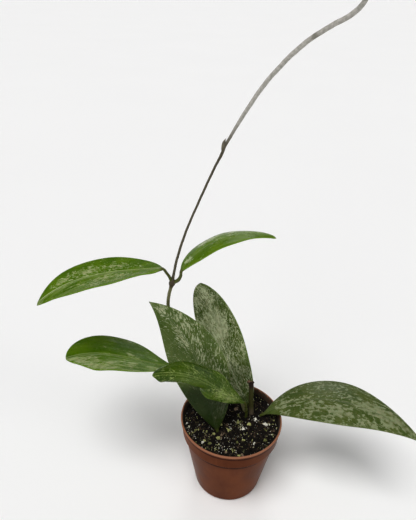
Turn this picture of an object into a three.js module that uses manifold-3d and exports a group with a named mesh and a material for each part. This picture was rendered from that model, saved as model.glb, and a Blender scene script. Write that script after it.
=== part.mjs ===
// A small potted hoya: a thin plastic nursery pot of compost, seven thick leaves and one long vine.
// Millimetres, +Z up. The origin is the centre of the pot's base, on the surface it stands on,
// and the front of the plant faces -Y.
import * as THREE from "three";
import { mergeVertices } from "three/addons/utils/BufferGeometryUtils.js";
import Module from "manifold-3d";

const wasm = await Module();
wasm.setup();

// ---------- driving dimensions ----------

const GAP = 0.3; // clearance between neighbouring pieces
const TOUCH = 1e-4; // points this close are one point
const SEED = 7; // seed of every random draw

// Pot: a tapered body under a wider stepped collar.
const POT_HEIGHT = 46;
const RIM_RADIUS = 27.5;
const COLLAR_FOOT_RADIUS = 26.3;
const COLLAR_HEIGHT = 9.4;
const COLLAR_STEP = 0.8;
const BODY_TOP_RADIUS = 25.1;
const BODY_FOOT_RADIUS = 18.5;
const BASE_RADIUS = 17.7;
const BASE_CHAMFER = 1;
const COLLAR_EDGE = [0.2, 0.3]; // the collar's lower edge is cut off by this much inwards and upwards
const WALL = 0.9;
const FLOOR = 1.2;
const POT_SIDES = 48;
const LIP_ROUND = 0.25;

// Drain holes in a ring round the solid middle of the base.
const DRAIN_COUNT = 6;
const DRAIN_RADIUS = 1.9;
const DRAIN_RING = 11.5;
const DRAIN_SIDES = 16;

// Compost: its level, the height of its lumps, and the grains of perlite in it.
const SOIL_LEVEL = 42.5;
const SOIL_RINGS = 9;
const SOIL_RELIEF = 0.7;
const SOIL_WAVES = [[0.5, 0.55, 0.5, 0.9], [0.5, 0.55, -0.5, 1.7], [0.6, 1.1, -0.9, 0],
  [0.4, 0.3, 1.4, 3.57]]; // strength, turns along X and Y, and start of each wave
const GRAIN_COUNT = 64;
const GRAIN_RADIUS = [0.6, 1.35];
const GRAIN_SHAPE = [1, 0.85, 0.8];
const GRAIN_RISE = 0.15; // how far a grain's middle stands above the compost, in radii
const GRAIN_EDGE = 2.2;
const GRAIN_SPACING = 0.3;
const GRAIN_STEM_CLEARANCE = 2.4;
const HOLE_DEPTH = 9;
const HOLE_CLEARANCE = 0.4;

// Stems.
const STUB_PLACE = [11.4, 5.8];
const STUB_BEND = [-0.9, -0.3]; // the stub's middle leans by this much, and its top by STUB_LEAN
const STUB_LEAN = [-1.6, -0.4];
const STUB_TOP = 65.5;
const STUB_RADIUS = 1.35;
const STUB_TAPER = 0.15;
const STUB_STEPS = 8;
const STUB_SIDES = 12;
const NODE_SWELL = 0.75;
const NODE_REACH = 2.4;
const PETIOLE_RADIUS = 0.8;
const PETIOLE_STEPS = 9;
const STALK_ROOTS = [0.1, 0.02]; // the stations inside the blade that a stalk starts through
const STEM_SIDES = 8;

// Leaf blades.
const BLADE_MIDDLE = 1.4; // thickness along the midrib
const BLADE_MARGIN = 0.7; // thickness at the margin
const KEEL = 0.35; // how far the midrib stands out below
const BLADE_STEPS = 18;
const BLADE_COLUMNS = [-1, -0.7, -0.35, 0, 0.35, 0.7, 1]; // from the left margin to the right
const FOLDED_COLUMNS = [-1, -0.86, -0.72, -0.58, -0.44, -0.3, -0.15, 0, 0.3, 0.6, 0.8, 1];
const BLADE_ENDS = 0.01; // the blade's first and last stations, as shares of its length
const FULL_CURL_HALF = 5; // a narrower half curls by less, so that its bend stays open
const LEAST_CURL = 1e-3;

// The shoot's route: soil, lower leaf joint, upper leaf joint, then the bare vine and its bud.
const SHOOT_ROUTE = [
  [7.6, 7.4, 34],
  [7.6, 7.4, 43],
  [4.7, 7.2, 51],
  [-5.8, 7.4, 61.3],
  [-16.5, 7.6, 73.3],
  [-26.8, 8, 88.6],
  [-33, 8, 102.9],
  [-34.9, 7.6, 112.8],
  [-34.4, 7.3, 118.3],
  [-32.9, 7, 125.4],
  [-30.7, 6, 138.2],
  [-26.5, 4, 154.1],
  [-20.2, 0.5, 172.3],
  [-14.8, -4, 187.3],
  [-12, -7, 194.6],
  [-11.1, -8.6, 197.9],
  [-9.1, -10.5, 202.3],
  [-6.4, -13.5, 208.5],
  [0.4, -21, 222.3],
  [4.2, -26, 228.6],
  [8.2, -30.5, 234.2],
  [12.8, -34.5, 239.1],
  [17.3, -38.5, 242.8],
  [20.9, -42, 245.5],
  [22.7, -44.3, 247.6],
  [23.4, -46.5, 249.6],
  [23.4, -49.5, 251.8],
  [22.8, -53, 254],
];
// The shoot's radius at a few heights, with straight tapers between them.
const SHOOT_TAPER = [[34, 1.05], [74, 1], [116, 0.82], [126, 0.8], [131, 0.64], [150, 0.56], [162, 0.5],
  [189, 0.5], [194, 0.6], [203, 0.58], [210, 0.67], [222, 0.72], [248, 0.7], [254, 0.4]];
const SHOOT_STEPS = 72;
const LOWER_JOINT = [-16.5, 7.6, 73.3];
const UPPER_JOINT = [-32.9, 7, 125.4];
// The small scale over the bud on the vine: its middle and its half-sizes.
const BUD_PLACE = [-12, -8.8, 198.3];
const BUD_SIZE = [0.8, 0.7, 2.1];
const BUD_SIDES = [10, 8];

// Each leaf: the midrib's four curve points from base to tip, the way its upper face looks at the
// base and at the tip, its width, how blunt its base and tip are (small is blunt), the angle that
// each half curls up by (left, right) at the base and at the tip, and where its stalk ends.
const LEAVES = {
  leaf_upper_left: {
    rib: [[-36.8, 4.6, 134.5], [-58.1, 14.2, 126.3], [-81.5, 8, 128.8], [-96, -3.5, 116.5]],
    face: [[0, -0.05, 1], [0.05, -0.2, 1]],
    width: 25.2,
    blunt: [0.84, 0.98],
    curl: [[0.45, 0.1], [0.45, 0.1]],
    stalk: [[-35.5, 5.8, 131.8], [-34.1, 6.6, 129.1], UPPER_JOINT],
  },
  leaf_upper_right: {
    rib: [[-28.5, 6.5, 132.4], [-20, 18.2, 143.1], [0.4, 24, 149.3], [17.5, 24.5, 143]],
    face: [[-0.15, 0.1, 1], [-0.05, 0.15, 1]],
    width: 17,
    blunt: [0.85, 0.93],
    curl: [[-0.2, -0.15], [-0.2, -0.15]],
    stalk: [[-28.7, 6, 130.2], [-29.9, 6.4, 127.6], UPPER_JOINT],
  },
  leaf_lower_left: {
    rib: [[-30.5, 5.5, 73.5], [-48.5, -0.5, 80], [-70, 15.5, 78.5], [-86, -1.5, 83]],
    face: [[0.1, 0.1, 1], [0.35, -0.3, 0.9]],
    width: 26.8,
    blunt: [0.92, 0.67],
    curl: [[0.5, 0], [0.5, 0]],
    stalk: [[-24, 7, 72], LOWER_JOINT],
  },
  leaf_front: {
    rib: [[-7.5, -8, 43], [-14.5, 0.5, 69.5], [-20.5, 3.5, 99], [-43.5, 0.5, 118.5]],
    face: [[-0.15, -0.95, 0.3], [-0.1, -0.9, 0.4]],
    width: 29,
    blunt: [0.97, 1.13],
    curl: [[0.2, 0.2], [0.2, 0.2]],
    stalk: [[-7, -8.6, 39.5], [-7, -8.6, 35]],
  },
  leaf_folded: {
    rib: [[6.2, -2, 58.3], [-8, -11.8, 73.3], [-18, -17.7, 95.4], [-38.3, -31.4, 101.2]],
    face: [[0.2, -0.93, 0.28], [-0.05, -0.56, 0.82]],
    width: 15.6,
    blunt: [1, 0.66],
    curl: [[0.05, -0.35], [-2.3, -1.1]],
    curl_span: [0.39, 0.5],
    stalk: [[8.3, 2.4, 47], [8.4, 3.4, 36]],
  },
  leaf_back: {
    rib: [[10.5, 11, 44.5], [-3.5, 12.5, 67.5], [-8.5, 27.5, 92.5], [-19.5, 20, 117.5]],
    face: [[-0.25, -0.93, 0.3], [-0.4, -0.86, 0.35]],
    width: 24.7,
    blunt: [0.58, 0.54],
    curl: [[0.18, 0.2], [0.18, 0.2]],
    stalk: [[10.9, 11, 41], [10.9, 11, 36]],
  },
  leaf_right: {
    rib: [[17.9, 3.7, 44.5], [43.2, 7.6, 64], [71.3, -2.8, 64], [95, -22, 55]],
    face: [[-0.05, -0.1, 1], [0.07, -0.1, 1]],
    width: 29.8,
    blunt: [1.08, 1.24],
    curl: [[-0.18, -0.18], [-0.18, -0.18]],
    stalk: [[16.3, 4.3, 42.5], [15.3, 4.8, 38]],
  },
};
const LEAVES_IN_SOIL = ["leaf_front", "leaf_folded", "leaf_back", "leaf_right"];

// ---------- small helpers ----------

// A repeatable random number source.
function randomSource(seed) {
  let state = seed;
  return () => {
    state = (state * 1664525 + 1013904223) % 4294967296;
    return state / 4294967296;
  };
}

const vector = (point) => new THREE.Vector3(...point);

function smoothstep(low, high, value) {
  return THREE.MathUtils.smoothstep(value, low, high);
}

// A closed geometry as a solid that can be joined and cut.
function solid(geometry) {
  const bare = geometry.clone();
  bare.deleteAttribute("normal");
  bare.deleteAttribute("uv");
  const merged = mergeVertices(bare, TOUCH);
  const index = merged.index.array;
  const triangles = [];
  for (let i = 0; i < index.length; i += 3) {
    const [a, b, c] = [index[i], index[i + 1], index[i + 2]];
    if (a !== b && b !== c && c !== a) triangles.push(a, b, c);
  }
  return new wasm.Manifold(new wasm.Mesh({
    numProp: 3,
    vertProperties: new Float32Array(merged.attributes.position.array),
    triVerts: new Uint32Array(triangles),
  }));
}

// A solid back as a geometry.
function geometryOf(body) {
  const mesh = body.getMesh();
  const geometry = new THREE.BufferGeometry();
  const positions = new Float32Array(mesh.numVert * 3);
  for (let i = 0; i < mesh.numVert; i += 1) {
    for (let k = 0; k < 3; k += 1) {
      positions[i * 3 + k] = mesh.vertProperties[i * mesh.numProp + k];
    }
  }
  geometry.setAttribute("position", new THREE.BufferAttribute(positions, 3));
  geometry.setIndex(Array.from(mesh.triVerts));
  geometry.computeVertexNormals();
  return geometry;
}

// A closed skin over rows of points: each row is a ring, and each end is closed by a fan.
function loft(rings) {
  const count = rings[0].length;
  const points = rings.flat();
  const triangles = [];
  for (let i = 0; i + 1 < rings.length; i += 1) {
    for (let j = 0; j < count; j += 1) {
      const a = i * count + j;
      const b = i * count + ((j + 1) % count);
      triangles.push(a, b, b + count, a, b + count, a + count);
    }
  }
  const ends = [[0, true], [(rings.length - 1) * count, false]];
  for (const [first, reversed] of ends) {
    const middle = new THREE.Vector3();
    for (let j = 0; j < count; j += 1) middle.addScaledVector(points[first + j], 1 / count);
    points.push(middle);
    const hub = points.length - 1;
    for (let j = 0; j < count; j += 1) {
      const a = first + j;
      const b = first + ((j + 1) % count);
      triangles.push(...(reversed ? [hub, b, a] : [hub, a, b]));
    }
  }
  const geometry = new THREE.BufferGeometry().setFromPoints(points);
  geometry.setIndex(triangles);
  return geometry;
}

// A round stem along a route, with its radius given at each share of the way.
function stem(route, steps, radiusAt, sides = STEM_SIDES) {
  const curve = new THREE.CatmullRomCurve3(route.map(vector), false, "centripetal");
  const frames = curve.computeFrenetFrames(steps, false);
  const rings = [];
  for (let i = 0; i <= steps; i += 1) {
    const centre = curve.getPointAt(i / steps);
    const radius = radiusAt(centre, i / steps);
    const ring = [];
    for (let j = 0; j < sides; j += 1) {
      const angle = (2 * Math.PI * j) / sides;
      ring.push(centre.clone()
        .addScaledVector(frames.normals[i], radius * Math.cos(angle))
        .addScaledVector(frames.binormals[i], radius * Math.sin(angle)));
    }
    rings.push(ring);
  }
  return loft(rings);
}

// ---------- leaves ----------

// The share of its full half-width that a blade has at t, with blunt or fine ends.
function bladeProfile(t, [base, tip]) {
  const widest = base / (base + tip);
  return (t / widest) ** base * ((1 - t) / (1 - widest)) ** tip;
}

// The blade's midrib point, its half-width and its own directions at t.
function bladeStation(leaf, t) {
  const rib = new THREE.CubicBezierCurve3(...leaf.rib.map(vector));
  const along = rib.getTangent(t);
  const face = vector(leaf.face[0]).lerp(vector(leaf.face[1]), t);
  face.addScaledVector(along, -face.dot(along)).normalize();
  return {
    point: rib.getPoint(t),
    face,
    side: new THREE.Vector3().crossVectors(along, face),
    half: (leaf.width / 2) * bladeProfile(t, leaf.blunt),
  };
}

// The point of a blade's middle surface at t along and u across, from -1 (left) to 1 (right),
// with the way that the surface faces there.
function bladePoint(leaf, t, u) {
  const { point, face, side, half } = bladeStation(leaf, t);
  const [low, high] = leaf.curl_span ?? [0, 1];
  const part = u < 0 ? 0 : 1;
  const full = THREE.MathUtils.lerp(leaf.curl[0][part], leaf.curl[1][part], smoothstep(low, high, t));
  const curl = full * Math.min(1, half / FULL_CURL_HALF) || LEAST_CURL;
  const angle = curl * Math.abs(u);
  const sideways = (half * Math.sin(angle)) / curl;
  const upwards = (half * (1 - Math.cos(angle))) / curl;
  point.addScaledVector(side, Math.sign(u) * sideways).addScaledVector(face, upwards);
  const facing = face.clone().multiplyScalar(Math.cos(angle))
    .addScaledVector(side, -Math.sign(u) * Math.sin(angle));
  return { point, facing };
}

// A blade as a closed solid. Both faces are split into triangles alike.
function blade(leaf, columns) {
  const points = [];
  const triangles = [];
  const row = columns.length;
  const level = row * (BLADE_STEPS + 1);
  for (const below of [false, true]) {
    for (let i = 0; i <= BLADE_STEPS; i += 1) {
      const share = (1 - Math.cos((Math.PI * i) / BLADE_STEPS)) / 2;
      const t = THREE.MathUtils.lerp(BLADE_ENDS, 1 - BLADE_ENDS, share);
      for (const u of columns) {
        const { point, facing } = bladePoint(leaf, t, u);
        const thickness = THREE.MathUtils.lerp(BLADE_MIDDLE, BLADE_MARGIN, u * u);
        const keel = below && u === 0 ? KEEL : 0;
        points.push(point.addScaledVector(facing, (below ? -1 : 1) * thickness / 2 - keel));
      }
    }
  }
  const quad = (a, b, c, d) => triangles.push(a, b, c, a, c, d);
  for (let i = 0; i < BLADE_STEPS; i += 1) {
    for (let j = 0; j + 1 < row; j += 1) {
      const a = i * row + j;
      triangles.push(a, a + 1, a + row + 1, a, a + row + 1, a + row);
      const b = a + level;
      triangles.push(b, b + row + 1, b + 1, b, b + row, b + row + 1);
    }
    const left = i * row;
    const right = left + row - 1;
    quad(left, left + row, left + row + level, left + level);
    quad(right, right + level, right + row + level, right + row);
  }
  for (let j = 0; j + 1 < row; j += 1) {
    const far = BLADE_STEPS * row + j;
    quad(j, j + level, j + 1 + level, j + 1);
    quad(far, far + 1, far + 1 + level, far + level);
  }
  const geometry = new THREE.BufferGeometry().setFromPoints(points);
  geometry.setIndex(triangles);
  return geometry;
}

// The stalk's route, from inside the blade's base to the stem or into the soil.
function stalkRoute(leaf) {
  const roots = STALK_ROOTS.map((t) => bladeStation(leaf, t).point.toArray());
  return [...roots, ...leaf.stalk];
}

function stalk(leaf, extra = 0) {
  return stem(stalkRoute(leaf), PETIOLE_STEPS, () => PETIOLE_RADIUS + extra);
}

function leafGeometry(leaf) {
  const columns = leaf.curl_span ? FOLDED_COLUMNS : BLADE_COLUMNS;
  const whole = solid(blade(leaf, columns)).add(solid(stalk(leaf)));
  return geometryOf(whole.subtract(solid(shootGeometry(GAP))));
}

// ---------- stems ----------

// The shoot's radius at a point, with a swelling at each of its leaf joints.
function shootRadius(point) {
  const height = THREE.MathUtils.clamp(point.z, SHOOT_TAPER[0][0], SHOOT_TAPER.at(-1)[0]);
  const next = SHOOT_TAPER.findIndex((entry, i) => i > 0 && height <= entry[0]);
  const [low, high] = [SHOOT_TAPER[next - 1], SHOOT_TAPER[next]];
  const radius = THREE.MathUtils.mapLinear(height, low[0], high[0], low[1], high[1]);
  const swell = [LOWER_JOINT, UPPER_JOINT].map((joint) => {
    const away = point.distanceTo(vector(joint)) / NODE_REACH;
    return NODE_SWELL * Math.exp(-2 * away * away);
  });
  return radius + Math.max(...swell);
}

function shootGeometry(extra = 0) {
  return stem(SHOOT_ROUTE, SHOOT_STEPS, (point) => shootRadius(point) + extra);
}

// The whole shoot, with the scale over its bud.
function vineGeometry() {
  const bud = new THREE.SphereGeometry(1, ...BUD_SIDES);
  bud.scale(...BUD_SIZE);
  bud.translate(...BUD_PLACE);
  return geometryOf(solid(shootGeometry()).add(solid(bud)));
}

// The old cutting's stub, cut off square and a little narrower at the top.
function stubGeometry(extra = 0) {
  const [x, y] = STUB_PLACE;
  const route = [
    [x, y, SOIL_LEVEL - HOLE_DEPTH + GAP],
    [x, y, SOIL_LEVEL],
    [x + STUB_BEND[0], y + STUB_BEND[1], (SOIL_LEVEL + STUB_TOP) / 2],
    [x + STUB_LEAN[0], y + STUB_LEAN[1], STUB_TOP],
  ];
  const radiusAt = (point, share) => STUB_RADIUS + extra - STUB_TAPER * share;
  return stem(route, STUB_STEPS, radiusAt, STUB_SIDES);
}

// ---------- pot ----------

const COLLAR_FOOT = POT_HEIGHT - COLLAR_HEIGHT;

// The inside radius of the pot at a height.
function potInside(z) {
  if (z >= COLLAR_FOOT + WALL) {
    const share = (z - COLLAR_FOOT) / COLLAR_HEIGHT;
    return THREE.MathUtils.lerp(COLLAR_FOOT_RADIUS, RIM_RADIUS, share) - WALL;
  }
  const share = (z - BASE_CHAMFER) / (COLLAR_FOOT - COLLAR_STEP - BASE_CHAMFER);
  return THREE.MathUtils.lerp(BODY_FOOT_RADIUS, BODY_TOP_RADIUS, Math.min(share, 1)) - WALL;
}

function potGeometry() {
  const bodyTop = COLLAR_FOOT - COLLAR_STEP;
  const profile = [
    [0, 0],
    [BASE_RADIUS, 0],
    [BODY_FOOT_RADIUS, BASE_CHAMFER],
    [BODY_TOP_RADIUS, bodyTop],
    [COLLAR_FOOT_RADIUS - COLLAR_EDGE[0], COLLAR_FOOT],
    [COLLAR_FOOT_RADIUS, COLLAR_FOOT + COLLAR_EDGE[1]],
    [RIM_RADIUS, POT_HEIGHT - LIP_ROUND],
    [RIM_RADIUS - LIP_ROUND, POT_HEIGHT],
    [RIM_RADIUS - WALL + LIP_ROUND, POT_HEIGHT],
    [potInside(POT_HEIGHT), POT_HEIGHT - LIP_ROUND],
    [potInside(COLLAR_FOOT + WALL), COLLAR_FOOT + WALL],
    [potInside(bodyTop), bodyTop],
    [potInside(FLOOR), FLOOR],
    [0, FLOOR],
  ].map(([radius, z]) => new THREE.Vector2(radius, z));
  const shell = new THREE.LatheGeometry(profile, POT_SIDES);
  shell.rotateX(Math.PI / 2);
  let pot = solid(shell);
  for (let i = 0; i < DRAIN_COUNT; i += 1) {
    const angle = (2 * Math.PI * (i + 0.5)) / DRAIN_COUNT;
    const drain = new THREE.CylinderGeometry(DRAIN_RADIUS, DRAIN_RADIUS, FLOOR * 3, DRAIN_SIDES);
    drain.rotateX(Math.PI / 2);
    drain.translate(DRAIN_RING * Math.cos(angle), DRAIN_RING * Math.sin(angle), FLOOR / 2);
    pot = pot.subtract(solid(drain));
  }
  return geometryOf(pot);
}

// ---------- compost ----------

// The height of the compost's lumpy top, level at its rim.
function soilHeight(x, y) {
  const out = Math.hypot(x, y) / (potInside(SOIL_LEVEL) - GAP);
  let waves = 0;
  for (const [strength, alongX, alongY, start] of SOIL_WAVES) {
    waves += strength * Math.sin(x * alongX + y * alongY + start);
  }
  return SOIL_LEVEL + (SOIL_RELIEF / 2) * waves * (1 - out ** 4);
}

function compostBody() {
  const bodyTop = COLLAR_FOOT - COLLAR_STEP;
  const lowest = FLOOR + GAP;
  const profile = [
    [0, lowest],
    [potInside(lowest) - GAP, lowest],
    [potInside(bodyTop) - GAP, bodyTop],
    [potInside(COLLAR_FOOT + WALL) - GAP, COLLAR_FOOT + WALL + GAP],
  ];
  const edge = potInside(SOIL_LEVEL) - GAP;
  for (let i = SOIL_RINGS; i >= 0; i -= 1) profile.push([(edge * i) / SOIL_RINGS, SOIL_LEVEL]);
  const points = profile.map(([radius, z]) => new THREE.Vector2(radius, z));
  const body = new THREE.LatheGeometry(points, POT_SIDES);
  body.rotateX(Math.PI / 2);
  const position = body.attributes.position;
  for (let i = 0; i < position.count; i += 1) {
    const isTop = position.getZ(i) > SOIL_LEVEL - TOUCH;
    if (isTop) position.setZ(i, soilHeight(position.getX(i), position.getY(i)));
  }
  return solid(body);
}

// The places and radii of the grains, clear of the stems, of the pot and of each other.
function grainPlaces(random) {
  const stems = [STUB_PLACE, SHOOT_ROUTE[1], ...LEAVES_IN_SOIL.map((name) => LEAVES[name].stalk[0])];
  const edge = potInside(SOIL_LEVEL) - GAP - GRAIN_EDGE;
  const grains = [];
  while (grains.length < GRAIN_COUNT) {
    const angle = random() * 2 * Math.PI;
    const out = Math.sqrt(random()) * edge;
    const radius = THREE.MathUtils.lerp(...GRAIN_RADIUS, random() ** 2);
    const turn = random() * Math.PI;
    const [x, y] = [out * Math.cos(angle), out * Math.sin(angle)];
    const clearance = (other, room) => Math.hypot(other[0] - x, other[1] - y) - room - radius;
    const offStems = stems.every((place) => clearance(place, GRAIN_STEM_CLEARANCE) > 0);
    const offGrains = grains.every((grain) => clearance(grain.place, grain.radius + GRAIN_SPACING) > 0);
    if (offStems && offGrains) grains.push({ place: [x, y], radius, turn });
  }
  return grains;
}

function soilGeometry() {
  let soil = compostBody();
  for (const { place: [x, y], radius, turn } of grainPlaces(randomSource(SEED))) {
    const grain = new THREE.IcosahedronGeometry(radius, 0);
    grain.rotateX(turn);
    grain.scale(...GRAIN_SHAPE);
    grain.rotateZ(turn);
    grain.translate(x, y, soilHeight(x, y) + radius * GRAIN_RISE);
    soil = soil.add(solid(grain));
  }
  const roots = [stubGeometry(HOLE_CLEARANCE), shootGeometry(HOLE_CLEARANCE)];
  for (const name of LEAVES_IN_SOIL) roots.push(stalk(LEAVES[name], HOLE_CLEARANCE));
  for (const root of roots) soil = soil.subtract(solid(root).translate([0, 0, -GAP]));
  return geometryOf(soil);
}

// ---------- the plant ----------

const MATERIALS = {
  pot: new THREE.MeshStandardMaterial({ color: 0xa5583a, roughness: 0.5, metalness: 0 }),
  soil: new THREE.MeshStandardMaterial({ color: 0x241a14, roughness: 0.95, metalness: 0 }),
  leaf: new THREE.MeshStandardMaterial({ color: 0x47682d, roughness: 0.35, metalness: 0 }),
  shoot: new THREE.MeshStandardMaterial({ color: 0x63603a, roughness: 0.6, metalness: 0 }),
  stub: new THREE.MeshStandardMaterial({ color: 0x5b4528, roughness: 0.7, metalness: 0 }),
};

const plant = new THREE.Group();

function place(name, geometry, material) {
  const mesh = new THREE.Mesh(geometry, material);
  mesh.name = name;
  plant.add(mesh);
}

place("pot", potGeometry(), MATERIALS.pot);
place("soil", soilGeometry(), MATERIALS.soil);
place("old_stem_stub", stubGeometry(), MATERIALS.stub);
place("vine_shoot", vineGeometry(), MATERIALS.shoot);
for (const [name, leaf] of Object.entries(LEAVES)) {
  place(name, leafGeometry(leaf), MATERIALS.leaf);
}

export default plant;
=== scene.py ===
"""Looks of the potted hoya: leaves, stems, compost and pot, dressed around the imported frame.

Shapes are worked out in millimetres in the frame's own axes, and MM turns them into metres.
"""

import math
import random

import bmesh
import bpy
import numpy as np
from mathutils import Matrix, Vector, noise


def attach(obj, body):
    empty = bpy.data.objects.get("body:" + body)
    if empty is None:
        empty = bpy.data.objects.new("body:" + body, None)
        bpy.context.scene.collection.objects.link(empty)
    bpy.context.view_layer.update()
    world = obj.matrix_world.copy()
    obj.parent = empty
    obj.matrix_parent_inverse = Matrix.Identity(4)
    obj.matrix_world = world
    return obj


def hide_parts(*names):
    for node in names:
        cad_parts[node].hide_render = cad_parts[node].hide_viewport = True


MM = 0.001

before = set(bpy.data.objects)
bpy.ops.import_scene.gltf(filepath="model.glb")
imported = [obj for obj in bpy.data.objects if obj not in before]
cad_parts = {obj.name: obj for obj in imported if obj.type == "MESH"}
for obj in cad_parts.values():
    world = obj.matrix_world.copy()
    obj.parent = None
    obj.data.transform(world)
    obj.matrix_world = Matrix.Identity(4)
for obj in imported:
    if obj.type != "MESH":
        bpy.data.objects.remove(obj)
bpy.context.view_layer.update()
rng = random.Random(11)

# ---------- the plant's sizes, as in the part's source ----------

GAP = 0.3
POT_HEIGHT = 46.0
RIM_RADIUS = 27.5
COLLAR_FOOT_RADIUS = 26.3
COLLAR_HEIGHT = 9.4
COLLAR_STEP = 0.8
BODY_TOP_RADIUS = 25.1
BODY_FOOT_RADIUS = 18.5
BASE_RADIUS = 17.7
BASE_CHAMFER = 1.0
COLLAR_EDGE = (0.2, 0.3)
WALL = 0.9
FLOOR = 1.2
LIP_ROUND = 0.25
DRAIN_COUNT = 6
DRAIN_RADIUS = 1.9
DRAIN_RING = 11.5
COLLAR_FOOT = POT_HEIGHT - COLLAR_HEIGHT
BODY_TOP = COLLAR_FOOT - COLLAR_STEP

SOIL_LEVEL = 42.5
SOIL_RELIEF = 0.7
SOIL_WAVES = [(0.5, 0.55, 0.5, 0.9), (0.5, 0.55, -0.5, 1.7), (0.6, 1.1, -0.9, 0), (0.4, 0.3, 1.4, 3.57)]
GRAIN_SEED = 7
GRAIN_COUNT = 64
GRAIN_RADIUS = (0.6, 1.35)
GRAIN_SHAPE = (1, 0.85, 0.8)
GRAIN_EDGE = 2.2
GRAIN_SPACING = 0.3
GRAIN_STEM_CLEARANCE = 2.4

STUB_PLACE = (11.4, 5.8)
STUB_BEND = (-0.9, -0.3)
STUB_LEAN = (-1.6, -0.4)
STUB_TOP = 65.5
STUB_RADIUS = 1.35
STUB_TAPER = 0.15
NODE_SWELL = 0.75
NODE_REACH = 2.4
PETIOLE_RADIUS = 0.8

BLADE_MIDDLE = 1.4
BLADE_MARGIN = 0.7
KEEL = 0.35
FULL_CURL_HALF = 5.0
LEAST_CURL = 1e-3

LOWER_JOINT = (-16.5, 7.6, 73.3)
UPPER_JOINT = (-32.9, 7, 125.4)
BUD_PLACE = (-12, -8.8, 198.3)
BUD_RADIUS = 0.8
BUD_LENGTH = 4.2

SHOOT_ROUTE = [
    (7.6, 7.4, 34), (7.6, 7.4, 43), (4.7, 7.2, 51), (-5.8, 7.4, 61.3), (-16.5, 7.6, 73.3),
    (-26.8, 8, 88.6), (-33, 8, 102.9), (-34.9, 7.6, 112.8), (-34.4, 7.3, 118.3),
    (-32.9, 7, 125.4), (-30.7, 6, 138.2), (-26.5, 4, 154.1), (-20.2, 0.5, 172.3),
    (-14.8, -4, 187.3), (-12, -7, 194.6), (-11.1, -8.6, 197.9), (-9.1, -10.5, 202.3),
    (-6.4, -13.5, 208.5), (0.4, -21, 222.3), (4.2, -26, 228.6), (8.2, -30.5, 234.2),
    (12.8, -34.5, 239.1), (17.3, -38.5, 242.8), (20.9, -42, 245.5), (22.7, -44.3, 247.6),
    (23.4, -46.5, 249.6), (23.4, -49.5, 251.8), (22.8, -53, 254),
]
SHOOT_TAPER = [(34, 1.05), (74, 1), (116, 0.82), (126, 0.8), (131, 0.64), (150, 0.56), (162, 0.5),
               (189, 0.5), (194, 0.6), (203, 0.58), (210, 0.67), (222, 0.72), (248, 0.7), (254, 0.4)]

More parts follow.
